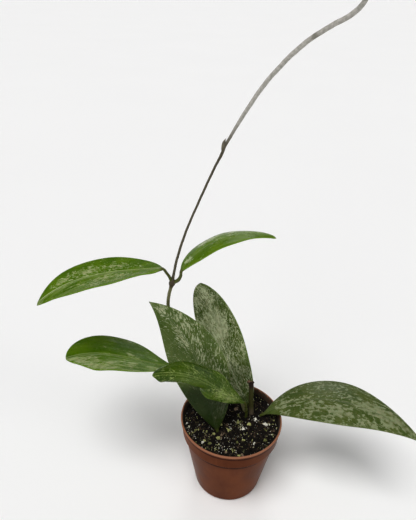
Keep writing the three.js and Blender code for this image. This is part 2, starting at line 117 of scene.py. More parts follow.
# Each leaf's form as in the part's source, then its looks. ripple is how far its margins wave, where
# it isn't RIPPLE. greens are a dark and a light one, and silver is the flecks' colour. slant is the
# angle that the flecks lie at to the midrib, grain is how fine they are along and across, and clumps is
# how much they gather. shine is the gloss, and foot is how bright the blade stays near its stalk under
# the painted shade that darkens it there. For the left and right half, streaks is how pale the veins
# show and everywhere is how thick the flecks lie off the patches. A patch is where it lies along and
# across the blade, how far it reaches each way, and how thick its flecks are.
LEAVES = {
    "leaf_upper_left": dict(
        rib=[(-36.8, 4.6, 134.5), (-58.1, 14.2, 126.3), (-81.5, 8, 128.8), (-96, -3.5, 116.5)],
        face=[(0, -0.05, 1), (0.05, -0.2, 1)], width=25.2, blunt=(0.84, 0.98),
        curl=[(0.45, 0.1), (0.45, 0.1)],
        stalk=[(-35.5, 5.8, 131.8), (-34.1, 6.6, 129.1), UPPER_JOINT],
        greens=[(0.062, 0.13, 0.001), (0.104, 0.184, 0.003)], silver=(0.35, 0.4, 0.19),
        slant=12, grain=(0.5, 1.05), clumps=0.6, shine=0.16, streaks=(0.75, 0.08), foot=1,
        everywhere=(0.44, 0.38),
        patches=[(0.35, 0.35, 0.3, 0.4, 0.6), (0.66, 0.35, 0.25, 0.5, 0.63), (0.4, -0.5, 0.35, 0.5, 0.59)]),
    "leaf_upper_right": dict(
        rib=[(-28.5, 6.5, 132.4), (-20, 18.2, 143.1), (0.4, 24, 149.3), (17.5, 24.5, 143)],
        face=[(-0.15, 0.1, 1), (-0.05, 0.15, 1)], width=17, blunt=(0.85, 0.93),
        curl=[(-0.2, -0.15), (-0.2, -0.15)],
        stalk=[(-28.7, 6, 130.2), (-29.9, 6.4, 127.6), UPPER_JOINT],
        greens=[(0.074, 0.146, 0.002), (0.12, 0.204, 0.004)], silver=(0.4, 0.46, 0.26),
        slant=8, grain=(0.4, 1.1), clumps=0.9, shine=0.24, streaks=(0.15, 0.15), foot=1,
        # leaf_upper_right's first patch, thick pale flecks by the stalk, is partly a painted highlight
        # there.
        everywhere=(0.44, 0.38), patches=[(0.1, 0.1, 0.08, 0.5, 0.7), (0.35, -0.5, 0.3, 0.4, 0.54)]),
    "leaf_lower_left": dict(
        rib=[(-30.5, 5.5, 73.5), (-48.5, -0.5, 80), (-70, 15.5, 78.5), (-86, -1.5, 83)],
        face=[(0.1, 0.1, 1), (0.35, -0.3, 0.9)], width=26.8, blunt=(0.92, 0.67),
        curl=[(0.5, 0), (0.5, 0)], stalk=[(-24, 7, 72), LOWER_JOINT],
        greens=[(0.06, 0.128, 0.001), (0.104, 0.182, 0.003)], silver=(0.31, 0.36, 0.16),
        slant=5, grain=(0.16, 0.9), clumps=0.8, shine=0.16, streaks=(0.6, 0.1), foot=1,
        everywhere=(0.5, 0.38),
        patches=[(0.55, -0.6, 0.5, 0.6, 0.66), (0.3, -0.6, 0.25, 0.5, 0.64), (0.82, -0.5, 0.25, 0.5, 0.76),
                 (0.4, 0.3, 0.2, 0.35, 0.52)]),
    "leaf_front": dict(
        rib=[(-7.5, -8, 43), (-14.5, 0.5, 69.5), (-20.5, 3.5, 99), (-43.5, 0.5, 118.5)],
        face=[(-0.15, -0.95, 0.3), (-0.1, -0.9, 0.4)], width=29, blunt=(0.97, 1.13),
        curl=[(0.2, 0.2), (0.2, 0.2)], stalk=[(-7, -8.6, 39.5), (-7, -8.6, 35)],
        # leaf_front's greens are lighter and greyer than its own green: partly painted sheen.
        greens=[(0.062, 0.1, 0.02), (0.096, 0.134, 0.034)], silver=(0.4, 0.43, 0.27),
        slant=24, grain=(0.45, 1.6), clumps=0.45, shine=0.14, streaks=(0.05, 0.1), foot=0.2,
        everywhere=(0.45, 0.55),
        patches=[(0.55, 0.3, 0.3, 0.4, 0.6), (0.88, 0.2, 0.14, 0.9, 0.62), (0.35, 0.5, 0.25, 0.5, 0.6),
                 (0.7, -0.1, 0.2, 0.35, 0.62)]),
    "leaf_folded": dict(
        rib=[(6.2, -2, 58.3), (-8, -11.8, 73.3), (-18, -17.7, 95.4), (-38.3, -31.4, 101.2)],
        face=[(0.2, -0.93, 0.28), (-0.05, -0.56, 0.82)], width=15.6, blunt=(1, 0.66),
        curl=[(0.05, -0.35), (-2.3, -1.1)], curl_span=(0.39, 0.5), ripple=0.45,
        stalk=[(8.3, 2.4, 47), (8.4, 3.4, 36)],
        greens=[(0.03, 0.066, 0.001), (0.061, 0.11, 0.002)], silver=(0.26, 0.33, 0.1),
        slant=18, grain=(0.6, 1.7), clumps=0.5, shine=0.16, streaks=(0.3, 0.3), foot=1,
        everywhere=(0.48, 0.48), patches=[(0.22, -0.3, 0.3, 0.9, 0.66), (0.6, 0.3, 0.25, 0.5, 0.52)]),
    "leaf_back": dict(
        rib=[(10.5, 11, 44.5), (-3.5, 12.5, 67.5), (-8.5, 27.5, 92.5), (-19.5, 20, 117.5)],
        face=[(-0.25, -0.93, 0.3), (-0.4, -0.86, 0.35)], width=24.7, blunt=(0.58, 0.54),
        curl=[(0.18, 0.2), (0.18, 0.2)], stalk=[(10.9, 11, 41), (10.9, 11, 36)],
        greens=[(0.064, 0.104, 0.012), (0.1, 0.146, 0.024)], silver=(0.57, 0.61, 0.39),
        slant=10, grain=(0.7, 2.1), clumps=0.45, shine=0.4, streaks=(0.2, 0.15), foot=0.65,
        everywhere=(0.62, 0.57),
        # leaf_back's first patch, thick flecks and their veil high in the middle of the blade, is partly
        # painted sheen.
        patches=[(0.68, 0, 0.22, 0.75, 0.78), (0.9, 0, 0.2, 1.2, 0.7), (0.35, -0.2, 0.3, 0.5, 0.63)]),
    "leaf_right": dict(
        rib=[(17.9, 3.7, 44.5), (43.2, 7.6, 64), (71.3, -2.8, 64), (95, -22, 55)],
        face=[(-0.05, -0.1, 1), (0.07, -0.1, 1)], width=29.8, blunt=(1.08, 1.24),
        curl=[(-0.18, -0.18), (-0.18, -0.18)], stalk=[(16.3, 4.3, 42.5), (15.3, 4.8, 38)],
        greens=[(0.058, 0.088, 0.017), (0.092, 0.118, 0.028)], silver=(0.238, 0.268, 0.148),
        slant=6, grain=(0.35, 0.68), clumps=0.5, shine=0.22, streaks=(0.1, 0.1), foot=1,
        everywhere=(0.54, 0.58),
        patches=[(0.1, 0.1, 0.12, 0.6, 0.64), (0.4, 0.5, 0.2, 0.4, 0.58), (0.8, 0, 0.26, 0.8, 0.74)]),
}
LEAVES_IN_SOIL = ("leaf_front", "leaf_folded", "leaf_back", "leaf_right")

# ---------- the finer surface, which the part's source leaves out ----------

BLADE_ENDS = (0.002, 0.9985)  # the blade's first and last stations, as shares of its length
BLADE_FORMED = 0.14  # the share of the blade over which its round stalk flattens
STALK_FADES = (0.05, 0.3)
STALK_TAPER = 0.12
STALK_BARK = 0.15  # what its skin adds to a stalk's radius
STALK_DEPTH = 1.44
TIP_HALF = 1.1  # a narrower tip is thinner too
GROOVE_DEPTH = 0.24
GROOVE_WIDTH = 0.5
KEEL_WIDTH = 0.8
RIPPLE = 0.15
RIPPLE_TURNS = 17
RIB_LINE = 0.45  # how far from the midrib the pale line on each side of it runs
SEED_STEP = 3.7  # how far apart the leaves lie in the noise of their flecks

SHOOT_DOWN = 0.055  # what down adds to the young vine's radius
SHOOT_AGES = ((121.5, 124.5), (126.5, 130), (195, 211))  # heights over which its bark changes
DOWN_HEIGHTS = (203, 212)
SCAR_HEIGHT = 239.7  # of a dark mark across it
STUB_ROOT = 8
# The withered knobs on the stub's cut end: place from the stub's foot and top, and size.
STUB_KNOBS = [(-3, -0.7, 0.9, 0.85), (-1, -0.4, 0.1, 0.9), (-3.6, -0.9, 1.2, 0.5)]

POT_BEND = 0.5  # how rounded the pot's corners are
# heights over which the lip is given a painted highlight
LIP_HIGHLIGHT = (POT_HEIGHT - 1.2, POT_HEIGHT - 0.7)
# Painted shade in the groove under the lip and under the collar's step.
PAINTED_SHADE_LINES = ((POT_HEIGHT - 2.5, 0.8), (COLLAR_FOOT - 1.7, 1.6))  # height and reach
INSIDE_DUST = (SOIL_LEVEL - 4.5, SOIL_LEVEL - 3.5)

# The bigger grains that lie on top: place, half length, slimness and tint (0 white, 0.5 yellow-green,
# 0.75 olive, 1 brown). Each is a cluster of grains in CLUSTER's shares of its size.
CLUSTER = (0.85, 0.65, 0.55, 0.45, 0.4)
BIG_PERLITE = [
    (13.8, 0.7, 1.3, 0.75, 0), (6.9, -6, 1.6, 0.6, 0.1), (9.8, -2.4, 1.4, 0.8, 0.45),
    (19.1, -1.9, 2.1, 0.55, 0.2), (-15, -15.8, 1.1, 0.9, 0.05), (-1.2, -7.1, 1.3, 0.7, 0.4),
    (-9.3, -10.2, 1.2, 0.8, 0.5), (-7.1, -12.1, 1.3, 0.7, 0.5), (6, -13.5, 1.1, 0.8, 0.45),
    (-11.3, -16.9, 1.3, 0.7, 0.75), (3, 8.3, 1.4, 0.8, 0.9), (4, 3.8, 1, 0.8, 0.8),
    (3.5, -23.6, 0.9, 0.7, 0.4), (-2.3, -3.7, 1.2, 0.7, 0.95), (-5, -10, 1.2, 0.7, 1),
    (17.6, -12.9, 1.3, 0.7, 0.7), (11.7, -15.2, 0.8, 0.8, 0.2), (-24, -3, 0.7, 0.8, 0.1),
    (-22.8, -5.5, 0.8, 0.7, 0.3),
]

# Loose crumbs keep clear of these places by the stems.
STEM_PLACES = [STUB_PLACE, (7.6, 7.4), (-7, -8.6), (8.4, 3.4), (10.9, 11), (15.5, 6.7)]
LOOSE_EDGE = 0.6
PEAT_COUNT = 1500
PEAT_SIZES = (0.2, 0.75)
PEAT_SHAPE = (1, 0.8, 0.6)
PEAT_CLEARANCE = 1.7
PERLITE_COUNT = 700
PERLITE_SIZES = (0.1, 0.34)
PERLITE_SHAPE = (1, 0.8, 0.7)
PERLITE_CLEARANCE = 1.8
CLUMP_COUNT = 60
CLUMP_SIZES = (0.12, 0.42)
CLUMP_SPREAD = 0.9
FIBRE_COUNT = 90
FIBRE_STEP = 0.8
FIBRE_RADII = (0.11, 0.05)

# How finely each piece is divided.
LEAF_STATIONS = 96
STALK_STATIONS = 26
HALF_COLUMNS = 20
SHOOT_STATIONS = 560
SHOOT_SIDES = 20
BUD_STATIONS = 36
BUD_SIDES = 18
STUB_STATIONS = 90
STUB_SIDES = 28
FIBRE_STATIONS = 16
FIBRE_SIDES = 6
SOIL_GRID = 150
POT_SIDES = 160
DRAIN_SIDES = 24
CURVE_STEPS = 24

# ---------- camera ----------

CAMERA_PLACE = (-16.0, -198.0, 252.0)
CAMERA_PITCH = 28.9
CAMERA_ROLL = 2.2
CAMERA_LENS = 34.6

# ---------- floor and light ----------

FLOOR_RINGS = (300, 1500, 20000)
FLOOR_SIDES = 64
HORIZON_LIGHT = 0.9
ZENITH_LIGHT = 0.15
VIEW_GAMMA = 0.85
# Each softbox: the way to it, how wide it spreads in degrees, and its strength.
SUNS = {
    "key": ((-0.22, -0.34, 0.92), 34, 2.3),
    "side": ((0.85, -0.45, 0.45), 20, 0.4),
    "window": ((-0.42, -0.9, 0.14), 26, 0.5),
    "rear": ((0.05, 0.79, 0.61), 24, 0.4),
}


def add_camera():
    data = bpy.data.cameras.new("camera")
    data.sensor_width = 36
    data.lens = CAMERA_LENS
    data.clip_start = 0.01
    data.clip_end = 50
    data.dof.use_dof = False
    camera = bpy.data.objects.new("camera", data)
    tilt = Matrix.Rotation(math.radians(90 - CAMERA_PITCH), 4, "X")
    roll = Matrix.Rotation(math.radians(CAMERA_ROLL), 4, "Z")
    camera.matrix_world = Matrix.Translation(Vector(CAMERA_PLACE) * MM) @ tilt @ roll
    bpy.context.scene.collection.objects.link(camera)
    bpy.context.scene.camera = camera


# ---------- mesh helpers ----------

def smoothstep(low, high, value):
    x = np.clip((np.asarray(value, float) - low) / (high - low), 0, 1)
    return x * x * (3 - 2 * x)


def unit(rows):
    rows = np.asarray(rows, float)
    return rows / np.linalg.norm(rows, axis=-1, keepdims=True)


def ring_angles(count):
    return np.linspace(0, 2 * np.pi, count, endpoint=False)


def add_mesh(name, points, faces, layers=None, material=None):
    """A smooth mesh object from millimetre points, with float or vector layers on its points."""
    mesh = bpy.data.meshes.new(name)
    mesh.from_pydata((np.asarray(points, float) * MM).tolist(), [], faces)
    mesh.polygons.foreach_set("use_smooth", [True] * len(mesh.polygons))
    for layer, values in (layers or {}).items():
        values = np.asarray(values, float)
        if values.ndim == 1:
            mesh.attributes.new(layer, "FLOAT", "POINT").data.foreach_set("value", values)
        else:
            mesh.attributes.new(layer, "FLOAT_VECTOR", "POINT").data.foreach_set("vector", values.ravel())
    mesh.validate()
    mesh.update()
    if material:
        mesh.materials.append(material)
    piece = bpy.data.objects.new(name, mesh)
    bpy.context.scene.collection.objects.link(piece)
    return piece


def joined(parts):
    """The points and faces of many separate (points, faces) pairs."""
    faces = []
    first = 0
    for points, part_faces in parts:
        faces += [tuple(first + v for v in face) for face in part_faces]
        first += len(points)
    return np.vstack([points for points, _ in parts]), faces


def ring_faces(rows, count):
    """Faces over rows of rings of count points, with a fan's hub point at each end."""
    faces = []
    for i in range(rows - 1):
        for j in range(count):
            a = i * count + j
            b = i * count + (j + 1) % count
            faces.append((a, b, b + count, a + count))
    first_hub = rows * count
    last = (rows - 1) * count
    for j in range(count):
        faces.append((first_hub, (j + 1) % count, j))
        faces.append((first_hub + 1, last + j, last + (j + 1) % count))
    return faces


def ring_points(rings):
    """The rings' points, with their two end hubs."""
    hubs = [rings[0].mean(axis=0), rings[-1].mean(axis=0)]
    return np.vstack([rings.reshape(-1, 3), hubs])


def catmull(route, count):
    """Evenly spaced points on a centripetal Catmull-Rom curve through the route, and their distances."""
    route = np.asarray(route, float)
    ends = [2 * route[0] - route[1], *route, 2 * route[-1] - route[-2]]
    dense = []
    for i in range(1, len(ends) - 2):
        p = ends[i - 1:i + 3]
        knots = [0.0]
        for a, b in zip(p, p[1:]):
            knots.append(knots[-1] + max(np.linalg.norm(b - a), 1e-6) ** 0.5)
        for x in np.linspace(knots[1], knots[2], CURVE_STEPS, endpoint=False):
            a = [blend_points(p[k], p[k + 1], knots[k], knots[k + 1], x) for k in range(3)]
            b = [blend_points(a[k], a[k + 1], knots[k], knots[k + 2], x) for k in range(2)]
            dense.append(blend_points(b[0], b[1], knots[1], knots[2], x))
    dense.append(route[-1])
    dense = np.array(dense)
    length = np.r_[0, np.cumsum(np.linalg.norm(np.diff(dense, axis=0), axis=1))]
    even = np.linspace(0, length[-1], count)
    return np.stack([np.interp(even, length, dense[:, k]) for k in range(3)], axis=1), even


def blend_points(a, b, start, end, x):
    return a * (end - x) / (end - start) + b * (x - start) / (end - start)


def tangents(points):
    return unit(np.gradient(points, axis=0))


def carried_normals(along, normal):
    """Normals carried along a curve without twist, from a first one."""
    normals = []
    for direction in along:
        normal = unit(normal - normal @ direction * direction)
        normals.append(normal)
    return np.array(normals)


def tube_rings(points, radii, sides, wobble=0):
    """Rings round a curve. wobble, for each station and side, adds to the radius."""
    along = tangents(points)
    normals = carried_normals(along, np.cross(along[0], (0.3, 1, 0.2)))
    angles = ring_angles(sides)[:, None]
    outwards = np.cos(angles) * normals[:, None] + np.sin(angles) * np.cross(along, normals)[:, None]
    return points[:, None] + (radii[:, None] + wobble)[..., None] * outwards


# ---------- leaves ----------

def bezier(rib, t):
    """The midrib's points and directions."""
    a, b, c, d = np.array(rib, float)
    t = t[:, None]
    points = (1 - t) ** 3 * a + 3 * (1 - t) ** 2 * t * b + 3 * (1 - t) * t ** 2 * c + t ** 3 * d
    return points, unit((1 - t) ** 2 * (b - a) + 2 * (1 - t) * t * (c - b) + t ** 2 * (d - c))


def leaf_spine(leaf):
    """The leaf's middle line, its two directions, and each station's share of the blade."""
    start, end = BLADE_ENDS
    blade_t = start + (end - start) * (1 - np.cos(np.linspace(0, np.pi, LEAF_STATIONS))) / 2
    rib, rib_along = bezier(leaf["rib"], blade_t)
    face = leaf["face"][0] + np.outer(blade_t, np.subtract(leaf["face"][1], leaf["face"][0]))
    rib_face = unit(face - (face * rib_along).sum(1)[:, None] * rib_along)

    stalk, _ = catmull([*leaf["stalk"][::-1], rib[0], rib[0] + rib_along[0] * 4], STALK_STATIONS * 3)
    keep = np.linalg.norm(stalk - rib[0], axis=1).argmin()
    stalk = stalk[np.linspace(0, keep, STALK_STATIONS, endpoint=False).astype(int)]
    stalk_along = tangents(np.vstack([stalk, rib[:1]]))[:-1]
    stalk_face = carried_normals(stalk_along[::-1], rib_face[0])[::-1]

    t = np.r_[np.zeros(STALK_STATIONS), blade_t]
    return np.vstack([stalk, rib]), np.vstack([stalk_along, rib_along]), np.vstack([stalk_face, rib_face]), t


def leaf_section():
    """Each point's share of the way from the midrib to a margin, and which face it is on."""
    out = (1 - np.cos(np.pi * np.linspace(0, 1, HALF_COLUMNS + 1))) / 2
    upper = np.r_[-out[::-1], out[1:]]
    column = np.r_[upper, upper[-2:0:-1]]
    top = np.r_[np.ones(len(upper)), -np.ones(len(upper) - 2)]
    top[0] = top[len(upper) - 1] = 0
    return column, top


def leaf_half(leaf, t):
    """Half the leaf's width at each station: round stalk and blade, blended."""
    along_stalk = np.r_[np.linspace(0, 1, STALK_STATIONS), np.ones(LEAF_STATIONS)]
    stalk = (PETIOLE_RADIUS + STALK_BARK) * (1 - STALK_TAPER * smoothstep(0, 1, along_stalk))
    stalk *= 1 - smoothstep(*STALK_FADES, t)
    base, tip = leaf["blunt"]
    widest = base / (base + tip)
    inner_t = np.clip(t, 1e-5, 1 - 1e-5)
    blade = leaf["width"] / 2 * (inner_t / widest) ** base * ((1 - inner_t) / (1 - widest)) ** tip
    return (np.where(t > 0, blade, 0) ** 3 + stalk ** 3) ** (1 / 3)


def blade_curl(leaf, t, half, column):
    """The angle that each half curls up by, at every station and column."""
    first, last = (np.array(pair, float)[(column > 0).astype(int)] for pair in leaf["curl"])
    share = smoothstep(*leaf.get("curl_span", (0, 1)), t)
    return (first + (last - first) * share) * np.minimum(1, half / FULL_CURL_HALF)


def leaf_thickness(half, blend, column, top):
    """How far each point lies above or below the blade's middle sheet."""
    tip_fade = np.minimum(1, half / TIP_HALF) ** 0.5
    middle = (STALK_DEPTH * (1 - blend) + BLADE_MIDDLE * blend) * tip_fade
    margin = (STALK_DEPTH * (1 - blend) + BLADE_MARGIN * blend) * tip_fade
    power = 2 + 7 * blend
    bulge = np.clip(1 - np.abs(column) ** power, 0, 1) ** (1 / power)
    thick = (margin + (middle - margin) * (1 - column ** 2)) / 2 * bulge
    across = half * column
    groove = GROOVE_DEPTH * np.exp(-(across / GROOVE_WIDTH) ** 2) * (top > 0) * blend
    keel = KEEL * np.exp(-(across / KEEL_WIDTH) ** 2) * (top < 0) * blend
    return np.sign(top) * thick - groove - keel * np.minimum(1, half / 3)


def leaf_rings(leaf):
    """The leaf as one skin of rings, from the end of its stalk to the tip of its blade."""
    centre, along, normal, t = leaf_spine(leaf)
    column, top = leaf_section()
    half = leaf_half(leaf, t)[:, None]
    lengths = np.r_[0, np.cumsum(np.linalg.norm(np.diff(centre, axis=0), axis=1))]
    lengths -= lengths[STALK_STATIONS]
    side = np.cross(along, normal)[:, None]
    centre, normal, t = centre[:, None], normal[:, None], t[:, None]
    blend = smoothstep(0, BLADE_FORMED, t)
    which = np.sign(column)

    curl = blade_curl(leaf, t, half, column) * blend
    curl = np.where(np.abs(curl) < LEAST_CURL, LEAST_CURL, curl)
    angle = curl * np.abs(column)
    sideways = half * np.sin(angle) / curl * which
    upwards = half * (1 - np.cos(angle)) / curl
    wave = np.sin(t * RIPPLE_TURNS + which * 1.3)
    lift = leaf_thickness(half, blend, column, top)
    lift += leaf.get("ripple", RIPPLE) * blend * column ** 2 * wave
    facing = normal * np.cos(angle)[..., None] - side * (which * np.sin(angle))[..., None]
    rings = centre + side * sideways[..., None] + normal * upwards[..., None] + facing * lift[..., None]
    return rings, t, lengths[:, None], column, half * column, top


def by_half(pair, column):
    """A value that differs between the blade's two halves, with a soft change at the midrib."""
    return pair[0] + (pair[1] - pair[0]) * smoothstep(-0.1, 0.1, column)


def splash_amount(leaf, t, column):
    """How thickly the flecks lie at each point of a blade."""
    amount = by_half(leaf["everywhere"], column) * np.ones_like(t)
    for at_t, at_column, reach_t, reach_column, strength in leaf["patches"]:
        away = ((t - at_t) / reach_t) ** 2 + ((column - at_column) / reach_column) ** 2
        amount = np.maximum(amount, strength * np.exp(-0.5 * away ** 1.5))
    return amount * smoothstep(0.02, 0.1, t)


def add_leaf(name, leaf, seed):
    rings, t, lengths, column, across, top = leaf_rings(leaf)
    rows, count = rings.shape[:2]
    grid = np.ones((rows, count))
    place = np.stack([lengths * grid, across, seed * grid], axis=-1).reshape(-1, 3)

    def layer(values, foot=0, tip=0):
        return np.r_[(values * grid).ravel(), foot, tip]

    layers = {
        "leaf_mm": np.vstack([place, place[:1], place[-1:]]),
        "splash": layer(splash_amount(leaf, t, column)),
        "upper": layer(np.clip(top, 0, 1)),
        "rim": layer(np.abs(column), 0, 1),
        "stalk": layer(1 - smoothstep(0, 0.035, t), 1),
        # where the blade gets painted shade near its stalk
        "foot": layer(1 - smoothstep(0.28, 0.42, t), 1),
        "streaks": layer(by_half(leaf["streaks"], column) * (1 - smoothstep(0.75, 0.95, t))),
    }
    piece = add_mesh(name + "_blade", ring_points(rings), ring_faces(rows, count), layers,
                     leaf_material(name, leaf))
    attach(piece, "root")
    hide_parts(name)


# ---------- material helpers ----------

class Nodes:
    """Short names for building the nodes of a new material, or of a world."""

    def __init__(self, name, owners=bpy.data.materials):
        self.owner = owners.new(name)
        self.owner.use_nodes = True
        self.tree = self.owner.node_tree
        self.color = None

    def add(self, kind, **inputs):
        node = self.tree.nodes.new(kind)
        for key, value in inputs.items():
            self.set(node.inputs[key], value)
        return node

    def set(self, socket, value):
        if hasattr(value, "is_output"):
            self.tree.links.new(value, socket)
        elif isinstance(value, tuple):
            socket.default_value = (*value, 1)
        else:
            socket.default_value = value

    def layer(self, name, vector=False):
        node = self.tree.nodes.new("ShaderNodeAttribute")
        node.attribute_name = name
        return node.outputs["Vector" if vector else "Fac"]

    def coords(self, kind="Object"):
        return self.add("ShaderNodeTexCoord").outputs[kind]

    def split(self, vector):
        return self.add("ShaderNodeSeparateXYZ", Vector=vector).outputs

    def join(self, x, y, z):
        return self.add("ShaderNodeCombineXYZ", X=x, Y=y, Z=z).outputs[0]

    def math(self, operation, a, b=0, c=0):
        node = self.tree.nodes.new("ShaderNodeMath")
        node.operation = operation
        for socket, value in zip(node.inputs, (a, b, c)):
            self.set(socket, value)
        return node.outputs[0]

    def times(self, a, b):
        return self.math("MULTIPLY", a, b)

    def apart(self, a, b):
        return self.math("ABSOLUTE", self.math("SUBTRACT", a, b))

    def noise(self, vector, scale, detail=2, rough=0.5):
        node = self.add("ShaderNodeTexNoise", Vector=vector, Scale=scale, Detail=detail, Roughness=rough)
        return node.outputs["Fac"]

    def remap(self, value, low, high, to_low=0, to_high=1):
        node = self.tree.nodes.new("ShaderNodeMapRange")
        node.interpolation_type = "SMOOTHSTEP"
        for socket, number in zip(node.inputs, (value, low, high, to_low, to_high)):
            self.set(socket, number)
        return node.outputs[0]

    def mix(self, share, a, b):
        node = self.tree.nodes.new("ShaderNodeMix")
        node.data_type = "RGBA"
        self.set(node.inputs[0], share)
        self.set(node.inputs[6], a)
        self.set(node.inputs[7], b)
        return node.outputs[2]

    def bump(self, height, distance, strength, normal=None):
        node = self.add("ShaderNodeBump", Height=height, Distance=distance, Strength=strength)
        if normal is not None:
            self.set(node.inputs["Normal"], normal)
        return node.outputs[0]

    def coat(self, share, a, b):
        """Start the colour: a where share is 0 and b where it is 1."""
        self.color = self.mix(share, a, b)

    def tint(self, color, value, low, high, most=1):
        """Lay another colour over it, from none where value is low to the most where it is high."""
        self.color = self.mix(self.remap(value, low, high, 0, most), self.color, color)

    def finish(self, roughness, shine, normal=None, **constants):
        inputs = self.tree.nodes["Principled BSDF"].inputs
        self.set(inputs["Base Color"], self.color)
        self.set(inputs["Roughness"], roughness)
        self.set(inputs["Specular IOR Level"], shine)
        if normal is not None:
            self.set(inputs["Normal"], normal)
        for key, value in constants.items():
            inputs[key.replace("_", " ")].default_value = value
        return self.owner


def leaf_material(name, leaf):
    """Waxy leaf: two greens, pale veins, silver flecks drawn out along them, and a paler back."""
    n = Nodes(name)
    place = n.layer("leaf_mm", vector=True)
    along, across, seed = n.split(place)
    out = n.math("ABSOLUTE", across)
    dark, light = leaf["greens"]

    patch = n.noise(n.join(n.times(along, 0.1), n.times(across, 0.16), seed), 1)
    n.coat(n.remap(patch, 0.3, 0.7), dark, light)
    vein = n.noise(slanted(n, along, out, seed, 3, 0.05, 1.5), 1, 3, 0.6)
    pale = tuple(0.5 * (a + b) for a, b in zip(light, leaf["silver"]))
    n.color = n.mix(n.times(n.remap(vein, 0.46, 0.62), n.layer("streaks")), n.color, pale)
    n.tint(dark, vein, 0.5, 0.36, 0.35)

    tone = n.noise(place, 0.35)
    silver = n.mix(n.remap(tone, 0.45, 0.7, 0, 0.3), leaf["silver"], (0.3, 0.26, 0.17))
    n.color = n.mix(fleck_share(n, leaf, along, across, out, seed), n.color, silver)
    n.tint(leaf["silver"], n.apart(out, RIB_LINE), 0.35, 0.1, 0.1 + 0.7 * max(leaf["streaks"]))
    # Painted shade: near its stalk the blade darkens towards a near-black green, the less the higher its
    # foot.
    n.color = n.mix(n.times(n.layer("foot"), 1 - leaf["foot"]), n.color, (0.008, 0.018, 0.002))

    back = n.mix(n.remap(vein, 0.4, 0.65), tuple(1.1 * c for c in light), (0.15, 0.2, 0.08))
    n.color = n.mix(n.layer("upper"), back, n.color)
    n.tint(tuple(1.3 * c for c in light), n.layer("rim"), 0.96, 0.995, 0.5)
    stalk = n.mix(n.noise(place, 0.8), (0.052, 0.064, 0.01), (0.09, 0.102, 0.026))
    n.color = n.mix(n.layer("stalk"), n.color, stalk)

    lumps = n.noise(n.join(n.times(along, 0.14), n.times(across, 0.25), seed), 1, 1)
    normal = n.bump(lumps, 0.7 * MM, 0.4)
    normal = n.bump(vein, 0.12 * MM, 0.4, normal)
    normal = n.bump(n.noise(place, 2.6, 3), 0.05 * MM, 0.4, normal)
    roughness = n.remap(n.noise(place, 0.4), 0.3, 0.7, 0.24, 0.38)
    return n.finish(roughness, leaf["shine"], normal, Subsurface_Weight=0.05, Subsurface_Scale=1.2 * MM)


def slanted(n, along, out, seed, degrees, lengthwise, crosswise):
    """Coordinates stretched along lines that leave the midrib at an angle, going forward."""
    c = math.cos(math.radians(degrees))
    s = math.sin(math.radians(degrees))
    far = n.math("ADD", n.times(along, c * lengthwise), n.times(out, s * lengthwise))
    wide = n.math("SUBTRACT", n.times(out, c * crosswise), n.times(along, s * crosswise))
    return n.join(far, wide, seed)


def fleck_share(n, leaf, along, across, out, seed):
    """How silver each point is: ragged flecks, fainter in places, and a veil where they lie thick."""
    seed = n.math("MULTIPLY_ADD", n.math("SIGN", across), 3.1, seed)

    def grain(lengthwise, crosswise, detail=2, rough=0.5):
        return n.noise(slanted(n, along, out, seed, leaf["slant"], lengthwise, crosswise), 1, detail, rough)

    clump = n.math("SUBTRACT", grain(0.1, 0.2), 0.5)
    amount = n.math("MULTIPLY_ADD", clump, leaf["clumps"], n.layer("splash"))
    ragged = n.math("SUBTRACT", grain(*leaf["grain"], 6, 0.72), n.remap(amount, 0, 1, 0.78, 0.36))
    faint = n.remap(grain(0.35, 0.8), 0.35, 0.6, 0.5, 1)
    fleck = n.times(n.remap(ragged, -0.005, 0.018), faint)
    return n.math("MAXIMUM", fleck, n.remap(amount, 0.55, 0.95, 0, 0.3))


# ---------- stems ----------

def shoot_radius(points):
    radius = np.interp(points[:, 2], *zip(*SHOOT_TAPER))
    swell = np.zeros(len(points))
    for joint in (LOWER_JOINT, UPPER_JOINT):
        away = np.linalg.norm(points - joint, axis=1) / NODE_REACH
        swell = np.maximum(swell, NODE_SWELL * np.exp(-2 * away ** 2))
    down = SHOOT_DOWN * smoothstep(*DOWN_HEIGHTS, points[:, 2])
    return radius + swell + down


def add_shoot():
    points, even = catmull(SHOOT_ROUTE, SHOOT_STATIONS)
    station = even[:, None]
    angle = ring_angles(SHOOT_SIDES)
    wobble = 0.03 * np.sin(station * 0.7 + 3 * angle) + 0.02 * np.sin(station * 1.9 + 5 * angle)
    rings = tube_rings(points, shoot_radius(points), SHOOT_SIDES, wobble)
    height = points[:, 2]
    layers = {"height_mm": np.r_[np.repeat(height, SHOOT_SIDES), height[0], height[-1]]}
    piece = add_mesh("shoot_stem", ring_points(rings), ring_faces(len(points), SHOOT_SIDES), layers,
                     shoot_material())
    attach(piece, "root")
    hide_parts("vine_shoot")


def add_bud():
    """The pointed scale that clasps the vine where a leaf would start."""
    x, y, z = BUD_PLACE
    route = [(x + 0.1, y + 1.3, z - 0.8 * BUD_LENGTH), (x + 0.3, y + 0.1, z - 0.3 * BUD_LENGTH),
             (x + 0.4, y - 0.15, z + 0.2 * BUD_LENGTH), (x + 1, y - 0.45, z + 0.6 * BUD_LENGTH)]
    points, even = catmull(route, BUD_STATIONS)
    share = even / even[-1]
    radii = BUD_RADIUS * np.sin(np.pi * np.clip(share, 0.02, 0.985) ** 0.75) ** 0.8
    ridges = 0.08 * radii[:, None] * np.cos(3 * ring_angles(BUD_SIDES))
    place = ring_points(tube_rings(points, radii, BUD_SIDES, ridges))
    piece = add_mesh("bud_scale", place, ring_faces(len(points), BUD_SIDES), {"height_mm": place[:, 2]},
                     shoot_material())
    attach(piece, "root")


